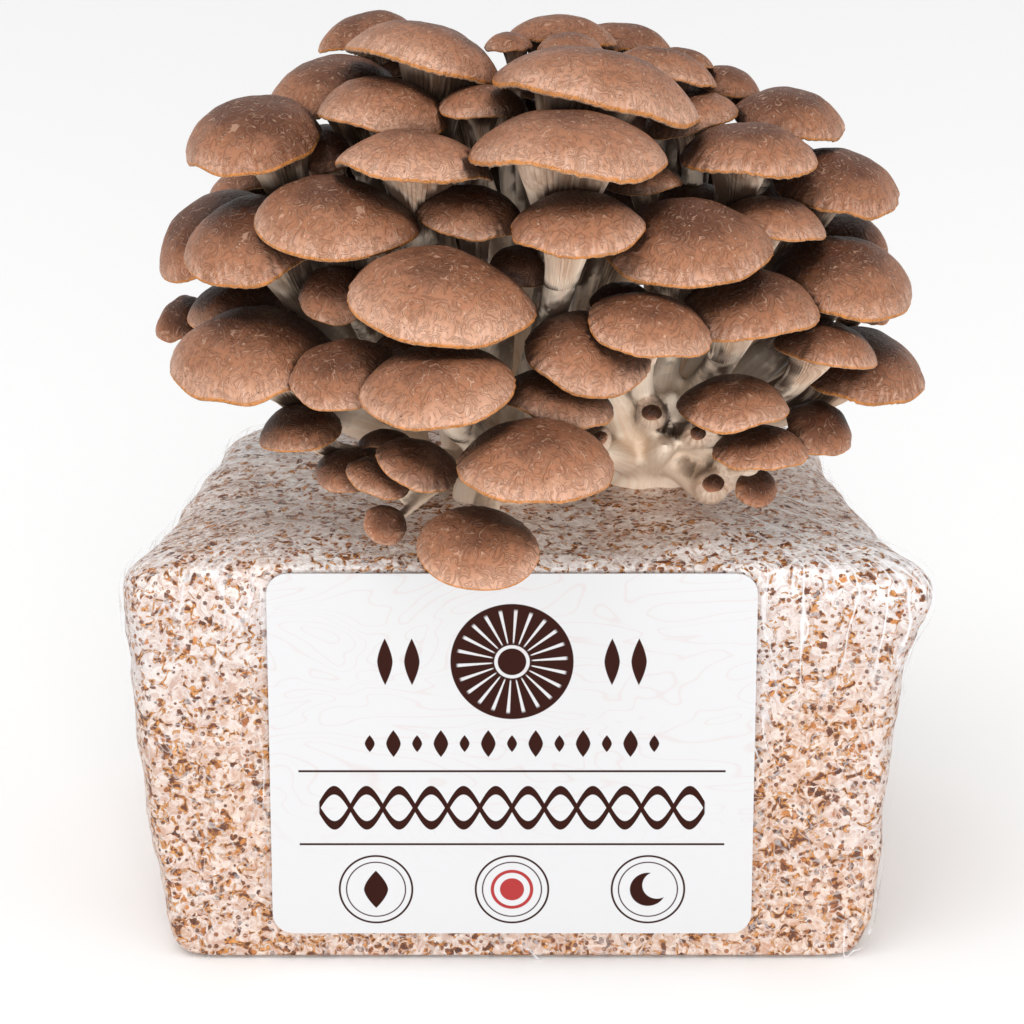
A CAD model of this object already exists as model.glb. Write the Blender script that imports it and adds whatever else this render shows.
# %% [markdown]
# # Oyster mushroom grow kit
# A block of sawdust and grain, bound by white mycelium, stands in a clear plastic bag. A hole is cut in the
# top of the bag, and a bouquet of brown oyster mushrooms grows out of it.

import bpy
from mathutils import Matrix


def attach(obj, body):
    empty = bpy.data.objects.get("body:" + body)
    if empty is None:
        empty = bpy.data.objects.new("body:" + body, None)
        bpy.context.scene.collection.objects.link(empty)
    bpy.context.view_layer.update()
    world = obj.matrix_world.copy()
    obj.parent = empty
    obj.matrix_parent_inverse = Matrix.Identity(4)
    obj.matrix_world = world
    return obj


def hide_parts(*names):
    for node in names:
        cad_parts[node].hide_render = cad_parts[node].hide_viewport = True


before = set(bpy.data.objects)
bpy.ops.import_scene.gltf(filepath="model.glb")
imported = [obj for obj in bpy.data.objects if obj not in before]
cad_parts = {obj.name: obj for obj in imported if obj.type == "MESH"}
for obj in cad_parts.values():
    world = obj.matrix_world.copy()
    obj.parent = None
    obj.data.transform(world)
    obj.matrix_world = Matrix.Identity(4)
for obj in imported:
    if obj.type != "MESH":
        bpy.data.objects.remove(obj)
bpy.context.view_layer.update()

# %% Tools and units
import itertools
import math
from collections import namedtuple

import bmesh
import bpy
import numpy as np
from mathutils import Matrix, Vector, noise
from mathutils.bvhtree import BVHTree

MM = 0.001


def deselect():
    bpy.ops.object.select_all(action="DESELECT")


def choose(*things):
    """Selects only these objects and makes the first one active."""
    deselect()
    for thing in things:
        thing.select_set(True)
    bpy.context.view_layer.objects.active = things[0]


# %% [markdown]
# ## Viewpoint
# The camera is set up first, because every later step is judged through it.

# %% Camera
VIEW_ELEVATION = math.radians(21)
VIEW_DISTANCE = 1.1
VIEW_TARGET = Vector((0, 0, 0.104))
VIEW_LENS = 142.3

camera_data = bpy.data.cameras.new("camera")
camera_data.lens = VIEW_LENS
camera_data.sensor_width = 36
camera = bpy.data.objects.new("camera", camera_data)
bpy.context.scene.collection.objects.link(camera)
towards_eye = Vector((0, -math.cos(VIEW_ELEVATION), math.sin(VIEW_ELEVATION)))
camera.location = VIEW_TARGET + towards_eye * VIEW_DISTANCE
camera.rotation_euler = (math.pi / 2 - VIEW_ELEVATION, 0, 0)
bpy.context.scene.camera = camera
print("camera at", [round(c, 3) for c in camera.location])

# %% [markdown]
# ## The plan of the bouquet
# An oyster bouquet is a crowd of shell-shaped caps, each on a stem that bends out from a shared foot. A crowd
# like this can be scattered by chance, but then no cap sits where the real one does. So it is planned cap by
# cap, as it looks from in front: how far across and up the cap is from the sight target, how far it stands
# towards the eye, its width, how far it nods to the front and how far it rolls to the right.

# %% Caps and bunches, in millimetres and degrees
SIGHT_TARGET = Vector((-2, 0, 104)) * MM
SIGHT_DISTANCE = 1050 * MM
SIGHT_ELEVATION = math.radians(20)

Cap = namedtuple("Cap", "across rise toward width nod roll seen", defaults=(None,))
Stub = namedtuple("Stub", "across rise toward thickness")
Bunch = namedtuple("Bunch", "foot spread caps small stubs", defaults=((),))

BUNCHES = {
    "top_left": Bunch((-12, 24), 8, [
        Cap(-38, 128, -5, 31, -6, -12, (-52, -26.5, 125, 136)),
        Cap(-22, 126, 20, 39, -8, 14, (-43.5, -4.5, 116.5, 133.5)),
        Cap(-54, 111, 2, 36, 2, -8, (-66.5, -30.5, 107.5, 124.5)),
        Cap(-34, 107, 42, 40, -4, 2, (-54, -17, 102.5, 118.5)),
        Cap(-25, 92, 58, 42, -2, 4, (-48, -5.5, 90, 104)),
    ], [
        Cap(-5, 107, 37, 20, 0, 2, (-19.5, 4, 106.5, 116.5)),
        Cap(-49, 94, 34, 17, 18, -10, (-57.5, -44, 91, 104.5)),
        Cap(-29, 118, -16, 22, -16, -6),
        Cap(-50, 100, -10, 20, -4, -10),
        Cap(-20, 126, -4, 27, -10, 10),
    ]),
    "top": Bunch((8, 22), 9, [
        Cap(13, 130, 6, 32, -8, 0, (-3.5, 28.5, 127.5, 135)),
        Cap(33, 126, -11, 29, -6, 8, (16.5, 44.5, 124, 132.5)),
        Cap(24, 114, 48, 54, -6, 12, (-5, 50.5, 106, 126.5)),
        Cap(16, 98, 68, 54, -6, 3, (-12, 43, 92, 109.5)),
    ], [
        Cap(0, 126, 12, 14, -4, 0, (-8.5, 6.5, 125.5, 130.5)),
        Cap(19, 124, 23, 19, -4, 4, (6.5, 25.5, 124.5, 130)),
        Cap(-2, 113, 4, 26, -14, 0),
        Cap(6, 107, -6, 22, -14, 0),
        Cap(36, 104, 12, 24, -8, 8),
        Cap(30, 84, 25, 22, 0, 4),
    ]),
    "top_right": Bunch((42, 35), 7, [
        Cap(41, 119, 16, 30, -4, 12, (26.5, 55.5, 116, 126)),
        Cap(51, 106, 25, 26, 6, -10, (35.5, 62, 102, 114)),
        Cap(75, 108, 12, 34, 4, 10, (60, 90, 101, 115.5)),
        Cap(64, 96, 42, 36, 2, 4, (45.5, 83, 91, 106)),
        Cap(88, 87, 18, 38, 14, 12, (71.5, 105, 80, 99)),
        Cap(53, 93, -33, 42, -26, 22),
        Cap(76, 66, -22, 32, -26, 34),
    ], [
        Cap(52, 121, 0, 17, -4, 6, (37, 55, 120.5, 126)),
        Cap(59, 116, -6, 21, 2, 12, (49, 68, 112, 121.5)),
        Cap(37, 87, 46, 21, 0, -4, (24.5, 46.5, 86.5, 95)),
        Cap(52, 84, 8, 24, -6, 6),
        Cap(69, 86, 0, 24, -6, 6),
        Cap(56, 112, -16, 27, -8, 8),
        Cap(77, 96, -12, 22, -6, 10),
    ]),
    "left": Bunch((-24, 4), 9, [
        Cap(-70, 98, 34, 41, 12, -10, (-89, -51.5, 91.5, 113.5)),
        Cap(-78, 74, 14, 38, 20, -30, (-96, -67, 64, 86.5)),
        Cap(-70, 72, 42, 40, 16, -14, (-89, -51, 61.5, 86)),
        Cap(-47, 77, 57, 45, 8, 0, (-70, -26, 68.5, 91.5)),
        Cap(-69, 35, 40, 48, 16, -8, (-92, -48, 29.5, 56)),
        Cap(-45, 36, 62, 30, 22, -14, (-60, -31, 27.5, 47.5)),
        Cap(-46, 57, 60, 26, 24, -12, (-57.5, -37.5, 49.5, 68)),
    ], [
        Cap(-73, 92, -3, 24, -2, -12, (-82.5, -58.5, 86.5, 94)),
        Cap(-74, 56, 22, 30, 4, -10, (-88, -60.5, 52, 63)),
        Cap(-88, 50, 14, 17, 20, -18, (-96.5, -83, 45.5, 58.5)),
    ]),
    "front": Bunch((-4, -9), 11, [
        Cap(-11, 79, 62, 28, 8, 0, (-26, 3, 74, 89)),
        Cap(17, 76, 78, 36, 4, 2, (-1, 36, 69.5, 87.5)),
        Cap(-19, 54, 84, 48, 12, 4, (-45, 6, 44.5, 72)),
        Cap(-19, 32, 87, 41, 18, -8, (-41, 1, 22.5, 46)),
        Cap(17, 42, 72, 33, 26, 16, (2.5, 38, 32, 54.5)),
        Cap(13, 28, 70, 29, 0, 14, (-3.5, 27.5, 23, 39)),
        Cap(-57, 22, 50, 25, 16, -14, (-68.5, -46, 16, 29.5)),
        Cap(-34, 10, 64, 19, 14, 10, (-45, -27, 3.5, 15.5)),
        Cap(6, 13, 92, 42, 14, 4, (-15, 28, 2, 25.5)),
        Cap(-9, -9, 88, 33, 28, 2, (-26, 7.5, -21.5, 1.5)),
    ], [
        Cap(3, 64, 54, 17, 26, 10, (-6, 11.5, 61, 72.5)),
        Cap(-46, 10, 52, 17, 16, -12, (-53, -37.5, 4.5, 17.5)),
        Cap(-35, 20, 46, 16, -6, 0, (-42, -26.5, 17.5, 22.5)),
        Cap(-33, -2, 68, 13, 56, 0, (-40.5, -28.5, -9, 2)),
        Cap(-22, 16, 72, 22, 14, 12, (-37, -14.5, 5.5, 20.5)),
        Cap(26, 22, 66, 5, 60, 0, (21.5, 26, 18, 22)),
        Cap(32, 58, 40, 20, 0, 4),
        Cap(-26, 45, 60, 20, 0, 4),
    ]),
    "right": Bunch((37, 12), 17, [
        Cap(47, 70, 65, 45, 12, 4, (24.5, 70, 60.5, 85.5)),
        Cap(71, 79, 46, 27, 2, 10, (55.5, 85.5, 73.5, 86)),
        Cap(91, 63, 30, 42, 14, 10, (70.5, 109.5, 52.5, 75)),
        Cap(64, 54, 56, 35, 12, 2, (45.5, 83, 46, 66)),
        Cap(37, 49, 78, 31, 14, 10, (21, 53.5, 41, 60)),
        Cap(84, 45, 43, 26, 4, 12, (71.5, 99, 39, 52)),
        Cap(93, 39, 22, 40, 8, 12, (76.5, 112, 29, 50.5)),
        Cap(60, 29, 58, 31, 4, 4, (45, 75.5, 22, 37.5)),
        Cap(67, 17, 54, 25, -4, 4, (54.5, 80.5, 11, 24)),
        Cap(83, 23, 36, 21, 22, 26, (74.5, 92.5, 15, 30)),
    ], [
        Cap(92, 77, 1, 22, 16, 16, (81.5, 102.5, 68, 81.5)),
        Cap(97, 53, -2, 15, -6, 10, (86.5, 102.5, 50.5, 60.5)),
        Cap(67, 7, 46, 11, 40, 24, (61, 72, 1, 12)),
        Cap(55, 7, 40, 6, 50, 0, (52, 57.5, 5, 10.5)),
        Cap(38, 27, 48, 6, 60, 0, (35.5, 40.5, 24.5, 29.5)),
        Cap(50, 21, 48, 5, 60, 0, (48.5, 53, 19.5, 23.5)),
    ], [
        Stub(28, 35, 40, 11),
        Stub(26, 17, 44, 8),
        Stub(37, 38, 38, 9),
        Stub(46, 33, 40, 8),
        Stub(44, 19, 46, 7),
    ]),
    "rear": Bunch((10, 40), 8, [
        Cap(-16, 111, -28, 42, -24, -8),
        Cap(26, 111, -38, 46, -24, 8),
        Cap(4, 91, -51, 46, -34, 0),
        Cap(-42, 92, -26, 42, -26, -24),
        Cap(-24, 68, -56, 40, -42, -12),
        Cap(32, 68, -56, 42, -42, 12),
        Cap(-62, 66, -24, 32, -26, -34),
    ], [
        Cap(4, 50, -56, 24, -44, 0),
    ]),
}
cap_count = sum(len(bunch.caps) + len(bunch.small) for bunch in BUNCHES.values())
print("bunches", len(BUNCHES), "caps", cap_count)

# %% Where each cap stands
BLOCK_HEIGHT = 114 * MM


def sight_point(cap):
    """Where a cap's middle is, from how it is seen."""
    right = Vector((1, 0, 0))
    up = Vector((0, math.sin(SIGHT_ELEVATION), math.cos(SIGHT_ELEVATION)))
    back = Vector((0, -math.cos(SIGHT_ELEVATION), math.sin(SIGHT_ELEVATION)))
    eye = SIGHT_TARGET + back * SIGHT_DISTANCE
    seen = SIGHT_TARGET + (right * cap.across + up * cap.rise) * MM
    return seen + (eye - seen).normalized() * cap.toward * MM


def cap_placement(bunch, cap):
    """The cap's own -Y runs outwards from the foot, and its Z is the way that the crown faces."""
    place = sight_point(cap)
    outwards = place - Vector((bunch.foot[0] * MM, bunch.foot[1] * MM, BLOCK_HEIGHT))
    heading = math.atan2(outwards.x, -outwards.y)
    nod = Matrix.Rotation(math.radians(cap.nod), 4, "X")
    roll = Matrix.Rotation(math.radians(cap.roll), 4, "Y")
    return Matrix.Translation(place) @ nod @ roll @ Matrix.Rotation(heading, 4, "Z")


# %% [markdown]
# ## Caps
# A cap is a dome with its highest point near the middle, a thin margin that rolls under, and gills on the
# underside that run in to the stem, which joins behind the middle. A sculpted cap would be slow to repeat
# sixty times, so one cap is turned by extruding a ring of edges from the crown round the margin to the gills,
# and each copy is then bent, waved and fluted by its own noise.

# %% The cap's section
CAP_DEPTH = 0.84
STEM_SETBACK = 0.12
CAP_CROWN = 0.235
CROWN_RINGS = [
    (0.04, 0.2345), (0.09, 0.231), (0.14, 0.224), (0.19, 0.214), (0.24, 0.199), (0.29, 0.178),
    (0.34, 0.151), (0.385, 0.120), (0.42, 0.090), (0.448, 0.060), (0.468, 0.034), (0.482, 0.012),
    (0.491, -0.006),
]
MARGIN_RINGS = [(0.494, -0.018), (0.490, -0.026), (0.480, -0.029), (0.470, -0.024)]
GILL_RINGS = [(0.455, -0.008), (0.42, 0.018), (0.37, 0.043), (0.32, 0.062), (0.27, 0.078), (0.22, 0.090)]
GILL_DEPTH = 0.022


def select_vertices(thing, wanted):
    """Selects, in edit mode, the vertices for which the test holds."""
    bpy.ops.mesh.select_mode(type="VERT")
    bpy.ops.mesh.select_all(action="DESELECT")
    mesh = bmesh.from_edit_mesh(thing.data)
    for vertex in mesh.verts:
        vertex.select = wanted(vertex.co)
    mesh.select_flush_mode()
    bmesh.update_edit_mesh(thing.data)


def select_open_edge():
    bpy.ops.mesh.select_mode(type="EDGE")
    bpy.ops.mesh.select_all(action="DESELECT")
    bpy.ops.mesh.select_non_manifold()


def extrude_rings(rings):
    """Extrudes the selected ring of edges from each radius and height to the next."""
    for (radius, height), (next_radius, next_height) in zip(rings, rings[1:]):
        bpy.ops.mesh.extrude_region_move()
        scale = next_radius / radius
        bpy.ops.transform.resize(value=(scale, scale, 1), center_override=(0, 0, 0))
        bpy.ops.transform.translate(value=(0, 0, next_height - height))


def turn_cap(name, segments):
    """A round cap of width 1 with its gills pleated: every second line of the underside hangs down."""
    deselect()
    radius, height = CROWN_RINGS[0]
    bpy.ops.mesh.primitive_circle_add(
        vertices=segments, radius=radius, fill_type="TRIFAN", location=(0, 0, height)
    )
    cap = bpy.context.object
    cap.name = name
    bpy.ops.object.transform_apply(location=True)
    bpy.ops.object.mode_set(mode="EDIT")
    select_vertices(cap, lambda co: co.xy.length < radius / 2)
    bpy.ops.transform.translate(value=(0, 0, CAP_CROWN - height))
    select_open_edge()
    extrude_rings(CROWN_RINGS + MARGIN_RINGS + GILL_RINGS)
    bpy.ops.mesh.edge_face_add()
    step = math.tau / segments
    for gill_radius, gill_height in GILL_RINGS[:-1]:
        select_vertices(
            cap,
            lambda co: abs(co.xy.length - gill_radius) < 1e-4
            and abs(co.z - gill_height) < 1e-4
            and round(math.atan2(co.y, co.x) / step) % 2 == 0,
        )
        bpy.ops.transform.translate(value=(0, 0, -GILL_DEPTH))
    bpy.ops.mesh.select_all(action="SELECT")
    bpy.ops.mesh.normals_make_consistent(inside=False)
    bpy.ops.object.mode_set(mode="OBJECT")
    bpy.ops.object.shade_smooth()
    cap.hide_render = True
    return cap


large_cap = turn_cap("large_cap_pattern", 120)
small_cap = turn_cap("small_cap_pattern", 80)
print("cap patterns", len(large_cap.data.polygons), len(small_cap.data.polygons), "faces")

# %% [markdown]
# ## Fitting the caps
# Each cap first gets a rough place, width and tilt. Most are seen in the picture, so their outline is known too:
# left, right, bottom and top edge, in millimetres on a plane through the middle of the view. A few rounds of
# least squares shift, widen and nod the cap till its outline has those edges. Then every pair of caps that runs
# into each other is drawn apart along the line of sight, which leaves the outlines where they are.

# %% Fitting each cap to its outline
EDGE_ANGLES = 48
FIT_ROUNDS = 10
FIT_STEP = 0.05
MOST_CHANGE = 4
NOD_RANGE = (-9, 14)
KEEP_WIDTH = 0.05
KEEP_NOD = 0.06
FITTED = ("across", "rise", "width", "nod")


def coarse_cap():
    """Corners and faces of a plain cap of width 1, with its gills as a shallow bowl."""
    rings = [(0.01, CAP_CROWN), *CROWN_RINGS[1::2], MARGIN_RINGS[0], *GILL_RINGS[::2], (0.01, 0.09)]
    angles = np.linspace(0, math.tau, EDGE_ANGLES, endpoint=False)
    corners = [
        (radius * math.cos(angle), radius * math.sin(angle) * CAP_DEPTH, height)
        for radius, height in rings
        for angle in angles
    ]
    faces = []
    for ring in range(len(rings) - 1):
        for side in range(EDGE_ANGLES):
            after = (side + 1) % EDGE_ANGLES
            faces.append((
                ring * EDGE_ANGLES + side,
                ring * EDGE_ANGLES + after,
                (ring + 1) * EDGE_ANGLES + after,
                (ring + 1) * EDGE_ANGLES + side,
            ))
    return np.array(corners), faces


coarse_corners, coarse_faces = coarse_cap()


def placed_corners(bunch, cap):
    placement = cap_placement(bunch, cap)
    turn = np.array(placement.to_3x3())
    return coarse_corners * cap.width * MM @ turn.T + np.array(placement.translation)


def seen_edges(corners):
    """Left, right, bottom and top edge of what the camera sees, in millimetres."""
    upwards = np.array((0, math.sin(VIEW_ELEVATION), math.cos(VIEW_ELEVATION)))
    from_eye = corners - np.array(camera.location)
    nearness = VIEW_DISTANCE / -(from_eye @ np.array(towards_eye)) / MM
    across = from_eye[:, 0] * nearness
    rise = from_eye @ upwards * nearness
    return np.array((across.min(), across.max(), rise.min(), rise.max()))


def fit_cap(bunch, rough):
    """The cap changed so that its outline has the edges it is seen to have."""
    first = np.array([getattr(rough, name) for name in FITTED], float)
    keep = np.array((0, 0, KEEP_WIDTH, KEEP_NOD))

    def error(values):
        cap = rough._replace(**dict(zip(FITTED, values)))
        miss = seen_edges(placed_corners(bunch, cap)) - rough.seen
        return np.concatenate([miss, (values - first) * keep])

    values = first
    for _ in range(FIT_ROUNDS):
        now = error(values)
        slopes = np.stack([(error(values + step) - now) / FIT_STEP for step in np.eye(4) * FIT_STEP], axis=1)
        change = np.linalg.lstsq(slopes, -now, rcond=None)[0]
        values = values + np.clip(change, -MOST_CHANGE, MOST_CHANGE)
        values[3] = np.clip(values[3], first[3] + NOD_RANGE[0], first[3] + NOD_RANGE[1])
    return rough._replace(**dict(zip(FITTED, values)))


for label, bunch in BUNCHES.items():
    fitted = [[fit_cap(bunch, cap) if cap.seen else cap for cap in row] for row in (bunch.caps, bunch.small)]
    BUNCHES[label] = bunch._replace(caps=fitted[0], small=fitted[1])
    miss = [
        abs(seen_edges(placed_corners(bunch, cap)) - cap.seen).max()
        for cap in fitted[0] + fitted[1]
        if cap.seen
    ]
    print(label, "largest miss", round(max(miss, default=0), 1), "mm")

# %% Drawing touching caps apart
SWEEPS = 6
APART_STEP = 0.5
MOST_APART = 14
GAP = 0.3


def touching_by(near_corners, far_corners, sight):
    """How far, in millimetres, the nearer cap has to come forward to be clear of the other."""
    if (near_corners.min(0) > far_corners.max(0)).any() or (far_corners.min(0) > near_corners.max(0)).any():
        return 0
    far_tree = BVHTree.FromPolygons(far_corners.tolist(), coarse_faces)
    shift = 0
    while shift < MOST_APART:
        moved = near_corners + sight * shift * MM
        if not BVHTree.FromPolygons(moved.tolist(), coarse_faces).overlap(far_tree):
            break
        shift += APART_STEP
    return shift


def draw_apart(members, sight):
    """One sweep over all pairs of caps: each that touches another gives way by half. How many pairs touched."""
    touching = 0
    corners = {key: placed_corners(bunch, cap) for key, (bunch, cap) in members.items()}
    for one, other in itertools.combinations(members, 2):
        near, far = sorted((one, other), key=lambda key: -members[key][1].toward)
        shift = touching_by(corners[near], corners[far], sight)
        if shift:
            touching += 1
            for key, way in ((near, 1), (far, -1)):
                bunch, cap = members[key]
                cap = cap._replace(toward=cap.toward + way * (shift + GAP) / 2)
                members[key] = (bunch, cap)
                corners[key] = placed_corners(bunch, cap)
    return touching


sight = np.array((0, -math.cos(SIGHT_ELEVATION), math.sin(SIGHT_ELEVATION)))
members = {}
for label, bunch in BUNCHES.items():
    for row in ("caps", "small"):
        members.update({(label, row, number): (bunch, cap) for number, cap in enumerate(getattr(bunch, row))})
for sweep in range(SWEEPS):
    touching = draw_apart(members, sight)
    print("sweep", sweep, "touching pairs", touching)
for label, bunch in BUNCHES.items():
    rows = {
        row: [members[label, row, number][1] for number in range(len(getattr(bunch, row)))]
        for row in ("caps", "small")
    }
    BUNCHES[label] = bunch._replace(**rows)

# %% Growing each cap from the pattern
skin_radii, skin_heights = zip(*CROWN_RINGS, MARGIN_RINGS[0])
gill_radii, gill_heights = zip(*GILL_RINGS[::-1], *MARGIN_RINGS[::-1])
OUTER = MARGIN_RINGS[0][0]


def on_skin(radius, height):
    """True on the skin, false on the gills."""
    top = np.interp(radius, skin_radii, skin_heights)
    bottom = np.interp(radius, gill_radii, gill_heights)
    return (height > (top + bottom) / 2) | (radius > OUTER - 1e-4)


def ripple(chance, angles, turns):
    """A wave round the cap, of whole turns so that it closes on itself, about -1 to 1."""
    total = np.zeros_like(angles)
    for count in turns:
        total += chance.normal() * np.sin(count * angles + chance.uniform(0, math.tau))
    return total / math.sqrt(len(turns))


def lumps(chance, flat, size):
    """Soft lumps about this size apart, from crossing waves, about -1 to 1."""
    total = np.zeros(len(flat))
    for _ in range(6):
        turn = chance.uniform(0, math.tau)
        way = np.array((math.cos(turn), math.sin(turn)))
        total += np.sin(flat @ way * math.tau / size * chance.uniform(0.7, 1.4) + chance.uniform(0, math.tau))
    return total / 3


def places(mesh):
    """Where a mesh's vertices are, one row each."""
    found = np.empty(len(mesh.vertices) * 3)
    mesh.vertices.foreach_get("co", found)
    return found.reshape(-1, 3)


def facings(mesh):
    """The way that each vertex faces, one row each."""
    found = np.empty(len(mesh.vertices) * 3)
    mesh.vertex_normals.foreach_get("vector", found)
    return found.reshape(-1, 3)


def move(mesh, points):
    mesh.vertices.foreach_set("co", np.ascontiguousarray(points, np.float32).ravel())
    mesh.update()


def keep_vectors(mesh, name, rows):
    """Stores three numbers for every vertex, for its finish to read."""
    stored = mesh.attributes.new(name, "FLOAT_VECTOR", "POINT")
    stored.data.foreach_set("vector", np.ascontiguousarray(rows, np.float32).ravel())


def grow_cap(pattern, name, cap, placement, seed):
    """A copy of the pattern, waved by its own chances, at its size and place."""
    mesh = pattern.data.copy()
    mesh.name = name
    chance = np.random.default_rng(seed)
    local = places(mesh)
    radius = np.hypot(local[:, 0], local[:, 1])
    angles = np.arctan2(local[:, 1], local[:, 0])
    skin = on_skin(radius, local[:, 2])
    share = np.minimum(radius / OUTER, 1) * 0.92 + np.clip((0.05 - local[:, 2]) / 0.08, 0, 1) * 0.08
    edge = np.clip((radius - 0.38) / 0.11, 0, 1)
    flute_turns = [round(cap.width * pitch) for pitch in (0.6, 0.85, 1.1, 1.3)]
    flutes = ripple(chance, angles, flute_turns)
    lobes = 0.030 * ripple(chance, angles, (2, 3)) + 0.014 * ripple(chance, angles, (4, 5, 7))
    swell = 1 + share**2 * lobes + 0.0075 * flutes * edge**2
    droop = share**3 * (0.020 * ripple(chance, angles, (2, 3)) + 0.010 * ripple(chance, angles, (4, 6, 8)))
    droop += 0.0045 * flutes * edge
    bumps = 0.006 * lumps(chance, local[:, :2], 0.45) + 0.002 * lumps(chance, local[:, :2], 0.16)
    setback = np.where(skin, 0, STEM_SETBACK * np.clip((0.47 - radius) / 0.25, 0, 1))
    shaped = np.stack([
        local[:, 0] * swell,
        local[:, 1] * swell * CAP_DEPTH + setback,
        local[:, 2] + droop + np.where(skin, bumps * (1 - edge), 0),
    ], axis=1)
    keep_vectors(mesh, "home", shaped * cap.width)
    tone = 0.35 * chance.uniform() + 0.45 * (abs(cap.across) / 100) ** 1.5
    keep_vectors(mesh, "part", np.stack([share, skin, np.full(len(share), tone)], axis=1))
    half = cap.width / 2
    spoke = np.stack([np.cos(angles) * half, np.sin(angles) * half, share * half * 0.25], axis=1)
    keep_vectors(mesh, "spoke", spoke)
    turn = np.array(placement.to_3x3())
    move(mesh, shaped * cap.width * MM @ turn.T + np.array(placement.translation))
    grown = bpy.data.objects.new(name, mesh)
    bpy.context.scene.collection.objects.link(grown)
    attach(grown, "root")
    return grown


caps = []
for label, bunch in BUNCHES.items():
    for number, cap in enumerate(bunch.caps, 1):
        seed = len(caps) + 11
        grown = grow_cap(large_cap, f"{label}_mushroom_{number}", cap, cap_placement(bunch, cap), seed)
        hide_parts(f"cap_{label}_{number}")
        caps.append(grown)
    for number, cap in enumerate(bunch.small, 1):
        seed = len(caps) + 11
        caps.append(grow_cap(small_cap, f"{label}_bud_{number}", cap, cap_placement(bunch, cap), seed))
print("caps grown", len(caps), "faces", sum(len(cap.data.polygons) for cap in caps))

# %% [markdown]
# ## Stems
# The stems of a bunch share one foot, and where they meet they are a single flesh, with no seam. Tubes pushed
# into one another would leave hard creases, so each bunch is drawn as tapering curves, made one skin by a
# voxel remesh, and smoothed.

# %% The way each stem takes
STEM_TOP = 0.19
STEM_WAIST = 0.115
STEM_ROOT = 0.085
STEM_ROOT_LEAST = 1.2 * MM
CAP_FLESH = 0.14
STEM_STEPS = 12
PIN_WIDTH = 7
PIN_TIP = 0.85


def stem_root(bunch, place):
    """Stems start spread over the foot, each on the side that its cap is on."""
    foot = Vector(bunch.foot) * MM
    sideways = place.to_2d() - foot
    reach = min(sideways.length / (60 * MM), 1) * bunch.spread * MM * 0.75
    spot = foot + sideways.normalized() * reach
    return Vector((*spot, BLOCK_HEIGHT + 2 * MM))


def stem_route(bunch, cap):
    """Points and radii from the foot to the underside of the cap. A pin is a plump finger with a tiny cap."""
    placement = cap_placement(bunch, cap)
    width = cap.width * MM
    seat = placement @ Vector((0, STEM_SETBACK * width, (CAP_CROWN - CAP_FLESH) * width))
    crown_way = (placement.to_3x3() @ Vector((0, 0, 1))).normalized()
    root = stem_root(bunch, placement.translation)
    length = (seat - root).length
    is_pin = cap.width < PIN_WIDTH
    collar = seat - crown_way * (PIN_TIP * width if is_pin else min(0.16 * width, 0.3 * length))
    start_pull = root + Vector((0, 0, 0.30 * length))
    end_pull = collar - crown_way * 0.28 * length
    root_radius = STEM_ROOT * width + STEM_ROOT_LEAST
    waist = STEM_WAIST * width
    if is_pin:
        root_radius, waist = PIN_TIP * width * 1.1, PIN_TIP * width
    route = []
    for step in range(STEM_STEPS + 1):
        t = step / STEM_STEPS
        s = 1 - t
        place = root * s**3 + start_pull * 3 * s * s * t + end_pull * 3 * s * t * t + collar * t**3
        bulge = 1 + 0.12 * noise.noise(place * 60)
        route.append((place, (root_radius + (waist - root_radius) * t) * bulge))
    if is_pin:
        for share, roundness in ((0.5, 0.87), (0.8, 0.6), (0.95, 0.3)):
            route.append((collar.lerp(seat, share), waist * roundness))
    else:
        route.append((collar.lerp(seat, 0.5), (STEM_WAIST + 0.35 * (STEM_TOP - STEM_WAIST)) * width))
        route.append((seat, STEM_TOP * width))
    return route

# %% Drawing a bunch and melting it into one skin
STEM_VOXEL = 1.3 * MM


def draw_stems(name, routes):
    """One curve object with a round, tapering spline for each stem."""
    curve = bpy.data.curves.new(name, "CURVE")
    curve.dimensions = "3D"
    curve.bevel_depth = 1
    curve.bevel_resolution = 4
    curve.use_fill_caps = True
    for route in routes:
        spline = curve.splines.new("POLY")
        spline.points.add(len(route) - 1)
        for point, (place, radius) in zip(spline.points, route):
            point.co = (*place, 1)
            point.radius = radius
    drawn = bpy.data.objects.new(name, curve)
    bpy.context.scene.collection.objects.link(drawn)
    choose(drawn)
    bpy.ops.object.convert(target="MESH")
    return bpy.context.object


def add_foot(bunch):
    """Lumps of flesh that the stems of a bunch rise from."""
    lumps = []
    for turn in range(5):
        angle = turn * math.tau / 5 + bunch.foot[0]
        reach = bunch.spread * 0.45 * MM
        radius = bunch.spread * MM * (0.62 + 0.12 * math.sin(turn * 2.4))
        place = (
            bunch.foot[0] * MM + reach * math.cos(angle),
            bunch.foot[1] * MM + reach * math.sin(angle),
            BLOCK_HEIGHT - 1 * MM,
        )
        bpy.ops.mesh.primitive_uv_sphere_add(segments=24, ring_count=16, radius=radius, location=place)
        lumps.append(bpy.context.object)
    return lumps


def melt(thing):
    """Voxel remesh and smooth, both applied."""
    choose(thing)
    skin = thing.modifiers.new("Melt", "REMESH")
    skin.mode = "VOXEL"
    skin.voxel_size = STEM_VOXEL
    bpy.ops.object.modifier_apply(modifier=skin.name)
    ease = thing.modifiers.new("Ease", "SMOOTH")
    ease.iterations = 5
    bpy.ops.object.modifier_apply(modifier=ease.name)
    bpy.ops.object.shade_smooth()


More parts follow.
